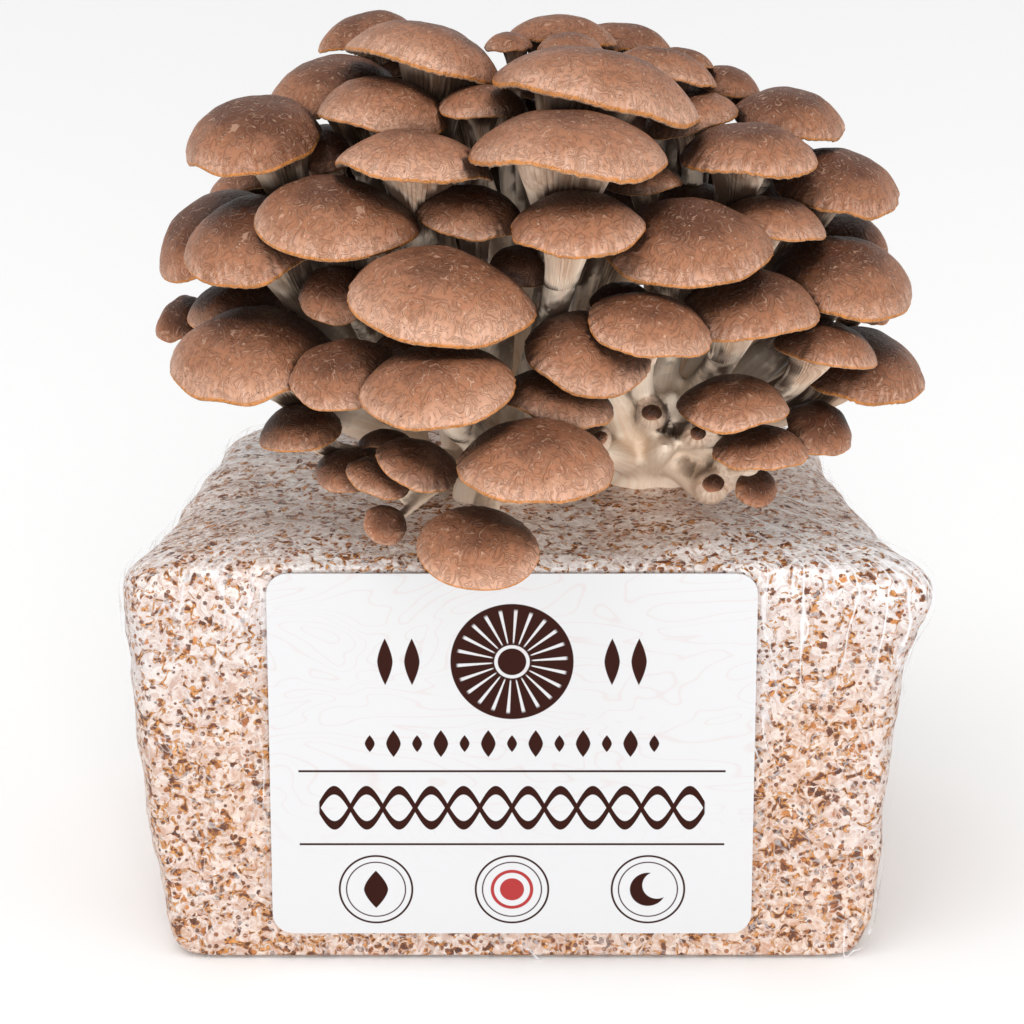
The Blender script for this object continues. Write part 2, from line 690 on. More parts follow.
# %% Fibre directions
def along_stems(points, routes, tops):
    """For each point, where it is on its nearest stem: a position unrolled along the fibres, and its height."""
    starts, ends, radii, lengths, totals = [], [], [], [], []
    for route, top in zip(routes, tops):
        run = 0
        whole = sum((b[0] - a[0]).length for a, b in zip(route, route[1:])) / top
        for (a, ra), (b, rb) in zip(route, route[1:]):
            starts.append(a)
            ends.append(b)
            radii.append((ra + rb) / 2)
            lengths.append(run)
            totals.append(whole)
            run += (b - a).length
    starts, ends = np.array(starts), np.array(ends)
    radii, lengths, totals = np.array(radii), np.array(lengths), np.array(totals)
    spans = ends - starts
    span_sizes = np.linalg.norm(spans, axis=1)
    ways = spans / span_sizes[:, None]
    sides = np.cross(ways, (0.31, 0.12, 0.94))
    sides /= np.linalg.norm(sides, axis=1)[:, None]
    others = np.cross(ways, sides)
    fibre = np.zeros((len(points), 3), np.float32)
    rise = np.zeros(len(points), np.float32)
    for first in range(0, len(points), 4000):
        batch = points[first : first + 4000]
        offset = batch[:, None, :] - starts[None]
        run = np.clip(np.einsum("psk,sk->ps", offset, ways), 0, span_sizes)
        away = offset - run[:, :, None] * ways[None]
        distance = np.linalg.norm(away, axis=2)
        nearest = np.argmin(distance - radii[None], axis=1)
        rows = np.arange(len(batch))
        off, seg = away[rows, nearest], nearest
        size = np.maximum(distance[rows, nearest], 1e-6)
        across = np.einsum("pk,pk->p", off, sides[seg]) / size
        upward = np.einsum("pk,pk->p", off, others[seg]) / size
        along = lengths[seg] + run[rows, nearest]
        fibre[first : first + 4000] = np.stack([across, upward, along / MM + 37.0 * seg // 14], axis=1)
        rise[first : first + 4000] = along / totals[seg]
    return fibre, rise


# %% Gilled funnels under the caps
FUNNEL_SEGMENTS = 88
FUNNEL_RINGS = 9
FUNNEL_WIDTH = 0.33
FUNNEL_PLEAT = 0.020
FUNNEL_TOP = 0.066


def turn_funnel():
    """A straight tube of width and length 1, closed at both ends, that each funnel is bent from."""
    deselect()
    bpy.ops.mesh.primitive_cylinder_add(vertices=FUNNEL_SEGMENTS, radius=1, depth=1, location=(0, 0, -0.5))
    tube = bpy.context.object
    tube.name = "funnel_pattern"
    bpy.ops.object.transform_apply(location=True)
    bpy.ops.object.mode_set(mode="EDIT")
    for cut in range(1, FUNNEL_RINGS):
        bpy.ops.mesh.select_all(action="SELECT")
        bpy.ops.mesh.bisect(plane_co=(0, 0, -cut / FUNNEL_RINGS), plane_no=(0, 0, 1))
    bpy.ops.object.mode_set(mode="OBJECT")
    tube.hide_render = True
    return tube


def bend_funnel(pattern, name, bunch, cap, route):
    """The pattern laid along the top of a stem, wide and pleated at the cap and closing on the stem below."""
    mesh = pattern.data.copy()
    width = cap.width * MM
    placement = cap_placement(bunch, cap)
    turn = np.array(placement.to_3x3())
    line = np.array([place for place, _ in route])[::-1]
    runs = np.concatenate([[0], np.cumsum(np.linalg.norm(np.diff(line, axis=0), axis=1))])
    reach = min(0.62 * width, 0.75 * runs[-1])
    local = places(mesh)
    down = np.clip(-local[:, 2], 0, 1)
    angles = np.arctan2(local[:, 1], local[:, 0])
    middle = np.stack([np.interp(down * reach, runs, line[:, k]) for k in range(3)], axis=1)
    top = np.array(placement @ Vector((0, 0.035 * width, FUNNEL_TOP * width)))
    near_top = np.clip(1 - down * 3.5, 0, 1)[:, None]
    middle = middle * (1 - near_top) + top * near_top
    chance = np.random.default_rng(round(abs(cap.across) * 10 + cap.rise))
    waist = STEM_WAIST * width * 1.03
    flare = (1 - down) ** 2.3 * (1 + 0.06 * ripple(chance, angles, (2, 3, 4)))
    odd = np.round(angles / (math.tau / FUNNEL_SEGMENTS)) % 2 * 2 - 1
    radius = waist + (FUNNEL_WIDTH * width - waist) * flare
    radius += np.where(down < 0.99, FUNNEL_PLEAT * width * (1 - down) ** 0.6 * odd, 0)
    flatness = CAP_DEPTH + (1 - CAP_DEPTH) * down
    ring = np.stack([np.cos(angles) * radius, np.sin(angles) * radius * flatness, np.zeros(len(down))], axis=1)
    move(mesh, middle + ring @ turn.T)
    made = bpy.data.objects.new(name, mesh)
    bpy.context.scene.collection.objects.link(made)
    return made


funnel_pattern = turn_funnel()
print("funnel pattern", len(funnel_pattern.data.polygons), "faces")

def stub_route(bunch, stub):
    """A plump finger that stopped growing before it made a cap: blunt at its tip."""
    tip = sight_point(stub)
    root = stem_root(bunch, tip)
    route = []
    for step in range(STEM_STEPS + 1):
        t = step / STEM_STEPS
        place = root.lerp(tip, t) + Vector((0, 0, 4 * MM)) * t * (1 - t)
        radius = stub.thickness / 2 * MM * math.sqrt(max(1 - t**6, 0.05))
        route.append((place, radius * (1 + 0.12 * noise.noise(place * 60))))
    return route


# %% Growing the bunches
FIRST_FUNNEL = 8
STUB_TOP = 0.3
stems = []
for label, bunch in BUNCHES.items():
    members = bunch.caps + bunch.small
    routes = [stem_route(bunch, cap) for cap in members]
    routes += [stub_route(bunch, stub) for stub in bunch.stubs]
    body = draw_stems(f"{label}_stems", routes)
    foot_lumps = add_foot(bunch)
    choose(body, *foot_lumps)
    bpy.ops.object.join()
    melt(body)
    funnels = [
        bend_funnel(funnel_pattern, f"{label}_funnel", bunch, cap, route)
        for cap, route in zip(members, routes)
        if cap.width > FIRST_FUNNEL
    ]
    choose(body, *funnels)
    bpy.ops.object.join()
    mesh = body.data
    tops = [1] * len(members) + [STUB_TOP] * len(bunch.stubs)
    fibre, rise = along_stems(places(mesh), routes, tops)
    keep_vectors(mesh, "fibre", fibre)
    mesh.attributes.new("rise", "FLOAT", "POINT").data.foreach_set("value", rise)
    choose(body)
    bpy.ops.object.shade_smooth_by_angle(angle=math.radians(60))
    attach(body, "root")
    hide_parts(f"stems_{label}")
    stems.append(body)
    print(label, "stems", len(routes), "faces", len(mesh.polygons))

# %% [markdown]
# ## Shelter
# A bouquet this dense keeps its light out: skin and stems that are roofed by other caps are darker and damper
# than those at the outside. How open each place is to the sky in front is counted with a few straight lines
# of sight, and stored for the finishes to use.

# %% How open each place is
SIGHT_LINES = 44
SIGHT_REACH = 45 * MM
CLEARANCE = 2.5 * MM
CAP_SKY = np.array((0, -0.35, 0.94))
STEM_SKY = np.array((0, -0.8, 0.6))


def sky_ways(middle):
    """Evenly spread ways to all of the sky round its brightest part."""
    found = []
    for number in range(SIGHT_LINES):
        z = 1 - (number + 0.5) * 2 / SIGHT_LINES
        turn = number * math.pi * (3 - math.sqrt(5))
        way = Vector((math.cos(turn) * math.sqrt(1 - z * z), math.sin(turn) * math.sqrt(1 - z * z), z))
        if np.array(way) @ middle > 0.2:
            found.append(way)
    return found


def blocking_shapes():
    """One search tree over plain caps and the stems."""
    corners, faces = [], []
    pattern = places(small_cap.data) * (1, CAP_DEPTH, 1)
    pattern_faces = [tuple(face.vertices) for face in small_cap.data.polygons]
    for bunch in BUNCHES.values():
        for cap in bunch.caps + bunch.small:
            placement = cap_placement(bunch, cap)
            turn = np.array(placement.to_3x3())
            first = len(corners)
            corners.extend((pattern * cap.width * MM @ turn.T + np.array(placement.translation)).tolist())
            faces.extend(tuple(first + corner for corner in face) for face in pattern_faces)
    for body in stems:
        first = len(corners)
        corners.extend(places(body.data).tolist())
        faces.extend(tuple(first + corner for corner in face.vertices) for face in body.data.polygons)
    return BVHTree.FromPolygons(corners, faces)


def store_openness(mesh, tree, ways, wanted):
    """1 where nothing stands in the way of the light, 0 where everything does."""
    spots = places(mesh)
    normals = facings(mesh)
    openness = np.ones(len(spots), np.float32)
    weights = np.clip(normals @ np.array(ways).T, 0, None)
    for index in np.nonzero(wanted)[0]:
        start = Vector(spots[index] + normals[index] * CLEARANCE)
        free = 0.0
        for way, weight in zip(ways, weights[index]):
            if weight > 0.05 and tree.ray_cast(start, way, SIGHT_REACH)[0] is None:
                free += weight
        openness[index] = free / max(weights[index].sum(), 0.3)
    mesh.attributes.new("openness", "FLOAT", "POINT").data.foreach_set("value", openness)
    return openness.mean()


tree = blocking_shapes()
means = []
for grown in caps:
    part = np.empty(len(grown.data.vertices) * 3, np.float32)
    grown.data.attributes["part"].data.foreach_get("vector", part)
    means.append(store_openness(grown.data, tree, sky_ways(CAP_SKY), part.reshape(-1, 3)[:, 1] > 0.5))
for body in stems:
    means.append(store_openness(body.data, tree, sky_ways(STEM_SKY), np.ones(len(body.data.vertices), bool)))
print("mean openness", round(float(np.mean(means)), 2))

# %% [markdown]
# ## Block
# The block is a slab pressed into a bag: flat underneath and in front, rounded at its edges, narrower at the
# base. It is a cube cut into a fine grid, drawn out to a rounded brick, and lumped by noise, as mycelium and
# grain lie under a skin of film.

# %% The rounded brick
BLOCK_WIDTH = 208 * MM
BLOCK_MIDDLE = 1.75 * MM
BLOCK_DEPTH = 128 * MM
BASE_NARROWING = 0.105
REAR_NARROWING = 0.25
TOP_SHARPNESS = 10.0
BASE_SHARPNESS = 22.0
EDGE_CROWDING = 0.8
BASE_SINK = 2.5 * MM
FRONT_AT_BASE = -62.4 * MM
FRONT_LEAN = math.radians(2.2)
EAR_TIPS = (
    (-1, -0.80, 0.90, 3 * MM),
    (1, -0.80, 0.84, 8 * MM),
    (-1, 0.75, 0.93, 3 * MM),
    (1, 0.75, 0.93, 4 * MM),
)
EAR_SPREAD = 16 * MM
BULGE = 1.6 * MM


def brick_point(cube_point, inset):
    """A point of the cube from -1 to 1 taken to the block's rounded, tapered surface."""
    lowness = min(max(0.3 - cube_point[2], 0), 1)
    sharpness = TOP_SHARPNESS + (BASE_SHARPNESS - TOP_SHARPNESS) * lowness**1.5
    crowded = [math.copysign(abs(c) ** EDGE_CROWDING, c) for c in cube_point]
    size = sum(abs(c) ** sharpness for c in crowded) ** (1 / sharpness)
    x, y, z = (c / size for c in crowded)
    z = BLOCK_HEIGHT / 2 + z * (BLOCK_HEIGHT / 2 - inset + BASE_SINK / 2) - BASE_SINK / 2
    up = min(max(z / BLOCK_HEIGHT, 0), 1)
    half_width = BLOCK_WIDTH / 2 * (1 - BASE_NARROWING * (1 - up) ** 2.2)
    half_width *= 1 - REAR_NARROWING * (0.3 + 0.7 * up) * max(y + 0.7, 0) / 1.7
    front = FRONT_AT_BASE + z * math.tan(FRONT_LEAN) + inset
    return Vector((BLOCK_MIDDLE + x * (half_width - inset), max(y * (BLOCK_DEPTH / 2 - inset), front), max(z, inset)))


def brick(name, cuts, inset, ear_share):
    """A cube with a fine grid on every face, drawn out to the brick, bulged a little and pulled out at its ears."""
    deselect()
    bpy.ops.mesh.primitive_cube_add(size=2)
    made = bpy.context.object
    made.name = name
    bpy.ops.object.mode_set(mode="EDIT")
    bpy.ops.mesh.subdivide(number_cuts=cuts)
    bpy.ops.object.mode_set(mode="OBJECT")
    bpy.ops.object.shade_smooth()
    move(made.data, np.array([brick_point(vertex.co, inset) for vertex in made.data.vertices]))
    spots = places(made.data)
    swell = np.array([noise.noise(Vector(spot) * 28 + Vector((3, 8, 1))) for spot in spots])
    beside_label = np.clip(np.abs(spots[:, 0]) / (10 * MM) - 6.6, 0, 1)
    beside_label[spots[:, 1] > -50 * MM] = 1
    off_floor = np.clip((spots[:, 2] - inset) / (10 * MM), 0, 1)
    spots += facings(made.data) * (swell * off_floor * beside_label * BULGE)[:, None]
    for side, y, z, reach in EAR_TIPS:
        tip = brick_point((side, y, z), 0)
        outwards = np.array(Vector((side, math.copysign(0.35, y), 0.1)).normalized())
        away = np.linalg.norm(spots - np.array(tip), axis=1) / EAR_SPREAD
        spots += np.exp(-(away**2))[:, None] * outwards * reach * ear_share
    move(made.data, spots)
    return made

# %% Substrate
SUBSTRATE_INSET = 1.0 * MM
SUBSTRATE_LUMPS = 0.8 * MM
substrate = brick("substrate", 80, SUBSTRATE_INSET, 1.0)
spots = places(substrate.data)
swell = np.array([noise.fractal(Vector(spot) * 90, 1.0, 2.0, 3) for spot in spots])
off_floor = np.clip((spots[:, 2] - SUBSTRATE_INSET) / (4 * MM), 0, 1)
move(substrate.data, spots + facings(substrate.data) * ((swell - 0.4) * off_floor * SUBSTRATE_LUMPS)[:, None])
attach(substrate, "root")
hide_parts("substrate_block")
print("substrate", len(substrate.data.polygons), "faces")

# %% [markdown]
# ## Bag
# The film is a single sheet drawn tight over the block, so it is the same brick a little larger. It stands off
# in pinched corners, gathers into creases, and is cut open round the foot of the bouquet.

# %% Film
HOLE_CENTRE = np.array((13, 7)) * MM
HOLE_RADII = np.array((55, 42)) * MM
HOLE_TURN = math.radians(12)
LIP_RISE = 2.2 * MM

# Each fold is a ridge between two places: its ends, half width and height in millimetres.
FOLDS = (
    ((70, 14, 114), (94, 48, 92), 2.4, 1.6),
    ((72, 0, 114), (98, 8, 84), 2.2, 1.4),
    ((70, -14, 114), (101, -44, 90), 2.6, 2.0),
    ((64, -24, 114), (99, -52, 100), 1.8, 1.6),
    ((56, -34, 114), (90, -60, 104), 1.6, 1.2),
    ((40, -40, 114), (52, -59, 104), 1.4, 0.9),
    ((-40, -20, 114), (-96, -44, 96), 2.6, 1.6),
    ((-44, -8, 114), (-96, -20, 88), 2.2, 1.4),
    ((-36, -32, 114), (-84, -60, 102), 1.8, 1.2),
    ((-98, -50, 96), (-94, -52, 40), 1.8, 1.2),
    ((-94, -56, 84), (-84, -62, 30), 1.3, 0.7),
    ((102, -48, 88), (94, -54, 20), 1.9, 1.4),
    ((98, -56, 80), (86, -61, 34), 1.3, 0.7),
)


def fold_ridges(spots):
    """How high the folds lift the film at each place."""
    lift = np.zeros(len(spots))
    for start, end, half_width, height in FOLDS:
        start, end = np.array(start) * MM, np.array(end) * MM
        line = end - start
        along = (spots - start) @ line / (line @ line)
        away = np.linalg.norm(spots - start - np.clip(along, 0, 1)[:, None] * line, axis=1)
        wander = np.abs(away - 0.8 * MM * np.sin(along * 17) ** 2)
        taper = np.clip(1.15 - np.abs(along * 2 - 1) ** 3, 0, 1)
        lift = np.maximum(lift, height * MM * taper * np.exp(-((wander / (half_width * MM)) ** 2)))
    return lift


def wrinkles(spot):
    """Sharp, low ridges where the film gathers, 0 to about 1."""
    coarse = 1 - abs(noise.noise(spot * 30 + Vector((5, 1, 2)))) * 2
    fine = 1 - abs(noise.noise(spot * 75 + Vector((1, 7, 3)))) * 2
    return max(0, coarse - 0.45) * 0.9 + max(0, fine - 0.55) * 0.5


def hole_reach(flat):
    """How far out of the hole's middle a place is, 1 on its edge."""
    turn = np.array(((math.cos(HOLE_TURN), -math.sin(HOLE_TURN)), (math.sin(HOLE_TURN), math.cos(HOLE_TURN))))
    across = (flat - HOLE_CENTRE) @ turn / HOLE_RADII
    angles = np.arctan2(across[:, 1], across[:, 0])
    ragged = 1 + 0.035 * np.sin(angles * 5 + 1) + 0.02 * np.sin(angles * 9)
    return np.linalg.norm(across, axis=1) / ragged


film = brick("bag_film", 100, 0, 1.0)
film_shape = bmesh.new()
film_shape.from_mesh(film.data)
middles = np.array([face.calc_center_median() for face in film_shape.faces])
inside = (hole_reach(middles[:, :2]) < 1) & (middles[:, 2] > BLOCK_HEIGHT * 0.8)
bmesh.ops.delete(film_shape, geom=[f for f, cut in zip(film_shape.faces, inside) if cut], context="FACES")
film_shape.to_mesh(film.data)
border = np.array([vertex.is_boundary for vertex in film_shape.verts])
film_shape.free()
spots = places(film.data)
reach = hole_reach(spots[:, :2])
spots[border, :2] = HOLE_CENTRE + (spots[border, :2] - HOLE_CENTRE) / reach[border, None]
off_floor = np.clip(spots[:, 2] / (6 * MM), 0, 1)
beside_label = np.clip(np.abs(spots[:, 0]) / (12 * MM) - 5.5, 0, 1)
beside_label[spots[:, 1] > -50 * MM] = 1
ridges = fold_ridges(spots)
creases = np.array([wrinkles(Vector(spot)) for spot in spots]) * beside_label
spots += facings(film.data) * ((ridges + creases * 0.7 * MM) * off_floor)[:, None]
near_hole = np.clip(1 - (reach - 1) / 0.10, 0, 1) * (spots[:, 2] > BLOCK_HEIGHT * 0.8)
spots[:, 2] += near_hole * LIP_RISE * (0.6 + 0.4 * np.sin(spots[:, 0] * 300) * np.sin(spots[:, 1] * 260))
move(film.data, spots)
keep_vectors(film.data, "gather", np.stack([ridges / MM, creases, near_hole], axis=1))
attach(film, "root")
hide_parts("clear_bag")
print("film", len(film.data.polygons), "faces")

# %% [markdown]
# ## Finishes
# Every finish is worked out from noise and position, so the file needs no picture. The shader maths is written
# as plain expressions on a small class that stands for one socket.

# %% Shader sums
class Field:
    """One output socket. Sums on it add Math nodes."""

    def __init__(self, tree, socket):
        self.tree = tree
        self.socket = socket

    def maths(self, operation, *values):
        return node(self.tree, "ShaderNodeMath", {"operation": operation}, dict(enumerate(values)))

    def __add__(self, other):
        return self.maths("ADD", self, other)

    def __radd__(self, other):
        return self.maths("ADD", other, self)

    def __sub__(self, other):
        return self.maths("SUBTRACT", self, other)

    def __rsub__(self, other):
        return self.maths("SUBTRACT", other, self)

    def __mul__(self, other):
        return self.maths("MULTIPLY", self, other)

    def __rmul__(self, other):
        return self.maths("MULTIPLY", other, self)

    def __truediv__(self, other):
        return self.maths("DIVIDE", self, other)

    def __pow__(self, other):
        return self.maths("POWER", self, other)

    def __abs__(self):
        return self.maths("ABSOLUTE", self)

    def larger(self, other):
        return self.maths("MAXIMUM", self, other)

    def sine(self):
        return self.maths("SINE", self)

    def smooth_step(self, low, high):
        """0 below low, 1 above high, and an even curve between."""
        inputs = {"Value": self, "From Min": low, "From Max": high}
        return node(self.tree, "ShaderNodeMapRange", {"interpolation_type": "SMOOTHSTEP"}, inputs)


def node(tree, kind, settings, inputs, output=0):
    """Any other node: its settings first, then the values and links of its sockets."""
    made = tree.nodes.new(kind)
    for name, value in settings.items():
        setattr(made, name, value)
    for name, value in inputs.items():
        if isinstance(value, Field):
            tree.links.new(value.socket, made.inputs[name])
        else:
            made.inputs[name].default_value = value
    return Field(tree, made.outputs[output])


def mix(factor, first, second):
    """Blends two colours. Sockets 6 and 7 of a Mix node are its colours."""
    settings = {"data_type": "RGBA"}
    return node(factor.tree, "ShaderNodeMix", settings, {0: factor, 6: first, 7: second}, 2)


def noise_field(vector, scale, detail=2.0, roughness=0.5, distortion=0.0, output=0):
    inputs = {"Vector": vector, "Scale": scale, "Detail": detail, "Roughness": roughness, "Distortion": distortion}
    return node(vector.tree, "ShaderNodeTexNoise", {}, inputs, output)


def worms(vector, scale, distortion, width):
    """Thin, short, curling lines, 1 on each line: where noise crosses its middle value."""
    middle = noise_field(vector, scale, 1.0, 0.4, distortion)
    return abs(middle - 0.5).smooth_step(width, 0.0)


def stretched(vector, scale):
    return node(vector.tree, "ShaderNodeVectorMath", {"operation": "MULTIPLY"}, {0: vector, 1: scale})


def finish(name, gloss=0.5):
    """A material with its Principled shader, and its tree. Less gloss, less of the room is mirrored."""
    made = bpy.data.materials.new(name)
    made.use_nodes = True
    shader = made.node_tree.nodes["Principled BSDF"]
    shader.inputs["Specular IOR Level"].default_value = gloss
    return made, made.node_tree, shader


def feed(tree, shader, **sockets):
    """Links fields to the shader's sockets, and sets plain values on them."""
    for name, value in sockets.items():
        socket = shader.inputs[name.replace("_", " ").title()]
        if isinstance(value, Field):
            tree.links.new(value.socket, socket)
        else:
            socket.default_value = value


def bumped(height, distance, strength=1.0):
    inputs = {"Height": height, "Distance": distance, "Strength": strength}
    return node(height.tree, "ShaderNodeBump", {}, inputs)


def attribute(tree, name, output="Vector"):
    made = tree.nodes.new("ShaderNodeAttribute")
    made.attribute_name = name
    return Field(tree, made.outputs[output])


def split(vector):
    made = vector.tree.nodes.new("ShaderNodeSeparateXYZ")
    vector.tree.links.new(vector.socket, made.inputs[0])
    return [Field(vector.tree, output) for output in made.outputs]

# %% Cap skin
CAP_GLOSS = 0.24
skin, tree, shader = finish("cap_skin", CAP_GLOSS)
home = attribute(tree, "home")
share, top_side, tone = split(attribute(tree, "part"))
openness = attribute(tree, "openness", "Fac")
clouds = noise_field(home, 0.10, 3.0)
mottle = noise_field(home, 0.45, 3.0, 0.6, 1.0)
contours = (noise_field(home, 0.33, 0.0, 0.5, 0.7) * 26.0).sine()
broken = noise_field(home, 0.50, 1.0).smooth_step(0.34, 0.52)
curls = contours.smooth_step(0.70, 1.0) * broken
furrows = (contours * -1).smooth_step(0.55, 1.0) * broken
flutes = noise_field(attribute(tree, "spoke"), 0.9, 2.0)
front = split(home)[1].smooth_step(12.0, -14.0)
paleness = share**1.9 * (front * 0.62 + 0.26) + (clouds - 0.5) * 0.50 + (mottle - 0.5) * 0.30 - tone * 0.42 + 0.12
crown_shade = (0.125, 0.042, 0.018, 1)
middle_shade = (0.37, 0.155, 0.080, 1)
pale_shade = (0.64, 0.355, 0.235, 1)
colour = mix(paleness.smooth_step(-0.08, 0.42), crown_shade, middle_shade)
colour = mix(paleness.smooth_step(0.38, 0.95), colour, pale_shade)
band = share.smooth_step(0.74, 0.90) * flutes.smooth_step(0.40, 0.70) * (front * 0.7 + 0.15)
colour = mix(band * 0.5, colour, (0.80, 0.53, 0.41, 1))
colour = mix(curls * 0.32, colour, (0.80, 0.50, 0.35, 1))
colour = mix(furrows * 0.30, colour, crown_shade)
specks = node(tree, "ShaderNodeTexVoronoi", {"feature": "F1"}, {"Vector": home, "Scale": 0.28})
colour = mix(specks.smooth_step(0.085, 0.05) * 0.5, colour, (0.74, 0.55, 0.42, 1))
dark_specks = node(tree, "ShaderNodeTexVoronoi", {"feature": "F1"}, {"Vector": home, "Scale": 0.19})
colour = mix(dark_specks.smooth_step(0.075, 0.045) * 0.6, colour, (0.06, 0.022, 0.010, 1))
rim = (share + (mottle - 0.5) * 0.02).smooth_step(0.956, 0.980)
colour = mix(rim * (mottle * 0.8 + 0.45), colour, (0.58, 0.215, 0.042, 1))
shade = openness.smooth_step(0.92, 0.18)
colour = mix(shade * 0.9, colour, (0.020, 0.006, 0.002, 1))
gill_colour = mix(mottle, (0.56, 0.41, 0.30, 1), (0.30, 0.17, 0.10, 1))
colour = mix(top_side, gill_colour, colour)
feed(
    tree, shader,
    base_color=colour,
    roughness=0.42 - curls * 0.06 + mottle * 0.1,
    normal=bumped(curls * 0.8 - furrows * 0.4 + mottle * 0.5, 0.5 * MM, 1.0),
)
for cap in caps:
    cap.data.materials.append(skin)

# %% Stem flesh
STEM_GLOSS = 0.3
flesh, tree, shader = finish("stem_flesh", STEM_GLOSS)
fibre = attribute(tree, "fibre")
rise = attribute(tree, "rise", "Fac")
openness = attribute(tree, "openness", "Fac")
ridges = noise_field(stretched(fibre, (5.0, 5.0, 0.040)), 1.0, 3.0, 0.55)
blotches = noise_field(stretched(fibre, (1.2, 1.2, 0.06)), 1.0, 2.0)
cream = mix(ridges.smooth_step(0.3, 0.8), (0.98, 0.84, 0.69, 1), (0.88, 0.68, 0.51, 1))
shade_tone = mix(ridges.smooth_step(0.3, 0.7), (0.66, 0.46, 0.34, 1), (0.34, 0.17, 0.09, 1))
colour = mix((rise + blotches * 0.3).smooth_step(0.78, 1.30), cream, shade_tone)
shade = openness.smooth_step(0.56, 0.12) * (rise.smooth_step(0.30, 0.65) * 0.86 + 0.07)
colour = mix(shade, colour, (0.045, 0.017, 0.007, 1))
feed(
    tree, shader,
    base_color=colour,
    roughness=0.5,
    normal=bumped(ridges, 0.3 * MM, 0.45),
)
for bunch_stems in stems:
    bunch_stems.data.materials.clear()
    bunch_stems.data.materials.append(flesh)

# %% Substrate finish
mycelium, tree, shader = finish("mycelium", 0.35)
place = node(tree, "ShaderNodeTexCoord", {}, {}, "Object")
nudge = noise_field(place, 520.0, 2.0, output="Color")
nudged = node(tree, "ShaderNodeMix", {"data_type": "VECTOR"}, {0: 0.0022, 4: place, 5: nudge}, 1)


def chosen_cells(vector, size, chosen):
    """Some cells of a Voronoi pattern, and how far each place is from its cell's middle in millimetres."""
    inputs = {"Vector": vector, "Scale": 1 / (size * MM)}
    away = node(tree, "ShaderNodeTexVoronoi", {"feature": "F1"}, inputs) * size
    cell = split(node(tree, "ShaderNodeTexVoronoi", {"feature": "F1"}, inputs, "Color"))
    return (chosen - cell[0]).smooth_step(-0.02, 0.02), away, cell


def flakes(size, chosen):
    """Sharp chips, one in each chosen cell, and a number for each."""
    picked, _, cell = chosen_cells(nudged, size, chosen)
    inputs = {"Vector": nudged, "Scale": 1 / (size * MM)}
    edge = node(tree, "ShaderNodeTexVoronoi", {"feature": "DISTANCE_TO_EDGE"}, inputs)
    return edge.smooth_step(0.07, 0.17) * picked, cell[1]


height = split(place)[2]
drift = noise_field(place, 22.0, 3.0)
threads = noise_field(place, 300.0, 3.0, 0.6, 1.5)
web = worms(place, 170.0, 1.6, 0.06)
richness = ((drift - 0.5) * 1.6 + 0.82 + height * -4.4).smooth_step(0.0, 1.0)
on_top = height.smooth_step(0.095, 0.112)
light_white = mix(on_top, (0.75, 0.71, 0.70, 1), (0.98, 0.96, 0.95, 1))
white = mix(threads.smooth_step(0.3, 0.7), light_white, (0.56, 0.46, 0.43, 1))
tan = mix(threads.smooth_step(0.32, 0.66), (0.80, 0.60, 0.47, 1), (0.52, 0.23, 0.10, 1))
colour = mix(richness * 0.75, white, tan)

blobs = noise_field(place, 330.0, 2.0, 0.5, 1.1) + richness * 0.03
blob = blobs.smooth_step(0.572, 0.600)
core = blobs.smooth_step(0.605, 0.675)
colour = mix(blob, colour, mix(core, (0.66, 0.28, 0.070, 1), (0.12, 0.030, 0.007, 1)))
chip, chip_tone = flakes(2.2, richness * 0.14 + 0.15)
split_side = noise_field(place, 480.0, 1.0).smooth_step(0.42, 0.58)
light_chip = mix(chip_tone, (0.60, 0.23, 0.055, 1), (0.34, 0.10, 0.020, 1))
dark_chip = mix(chip_tone, (0.17, 0.045, 0.010, 1), (0.070, 0.017, 0.004, 1))
colour = mix(chip, colour, mix(split_side, light_chip, dark_chip))
picked, away, cell = chosen_cells(place, 2.1, 0.75)
grain = (away - cell[1] * 0.25).smooth_step(0.44, 0.34) * picked
colour = mix(grain * 0.92, colour, mix(cell[2], (0.36, 0.11, 0.022, 1), (0.09, 0.022, 0.006, 1)))
veil = noise_field(place, 90.0, 3.0, 0.6).smooth_step(0.60, 0.76)
colour = mix((veil * 0.3).larger(web * 0.45), colour, light_white)
feed(
    tree, shader,
    base_color=colour,
    roughness=0.40,
    coat_weight=on_top * -0.2 + 0.2,
    coat_roughness=0.12,
    normal=bumped(threads * 0.7 + blob * 0.4 + grain * 0.4, 0.9 * MM, 1.0),
)
substrate.data.materials.append(mycelium)

# %% Film finish
clear_film, tree, shader = finish("clear_film")
place = node(tree, "ShaderNodeTexCoord", {}, {}, "Object")
ridges, creases, near_hole = split(attribute(tree, "gather"))
ripples = noise_field(place, 60.0, 3.0, 0.55, 1.2)
x, y, z = split(place)


def rays(from_x, from_y, wanted):
    """Fine folds that run out from a place on the top of the block."""
    turn = node(tree, "ShaderNodeMath", {"operation": "ARCTAN2"}, {0: y - from_y, 1: x - from_x})
    way = node(tree, "ShaderNodeCombineXYZ", {}, {0: turn * 11.0, 1: z * 25.0, 2: x * 9.0})
    return abs(noise_field(way, 1.0, 2.0, 0.6) - 0.5).smooth_step(0.030, 0.0) * wanted


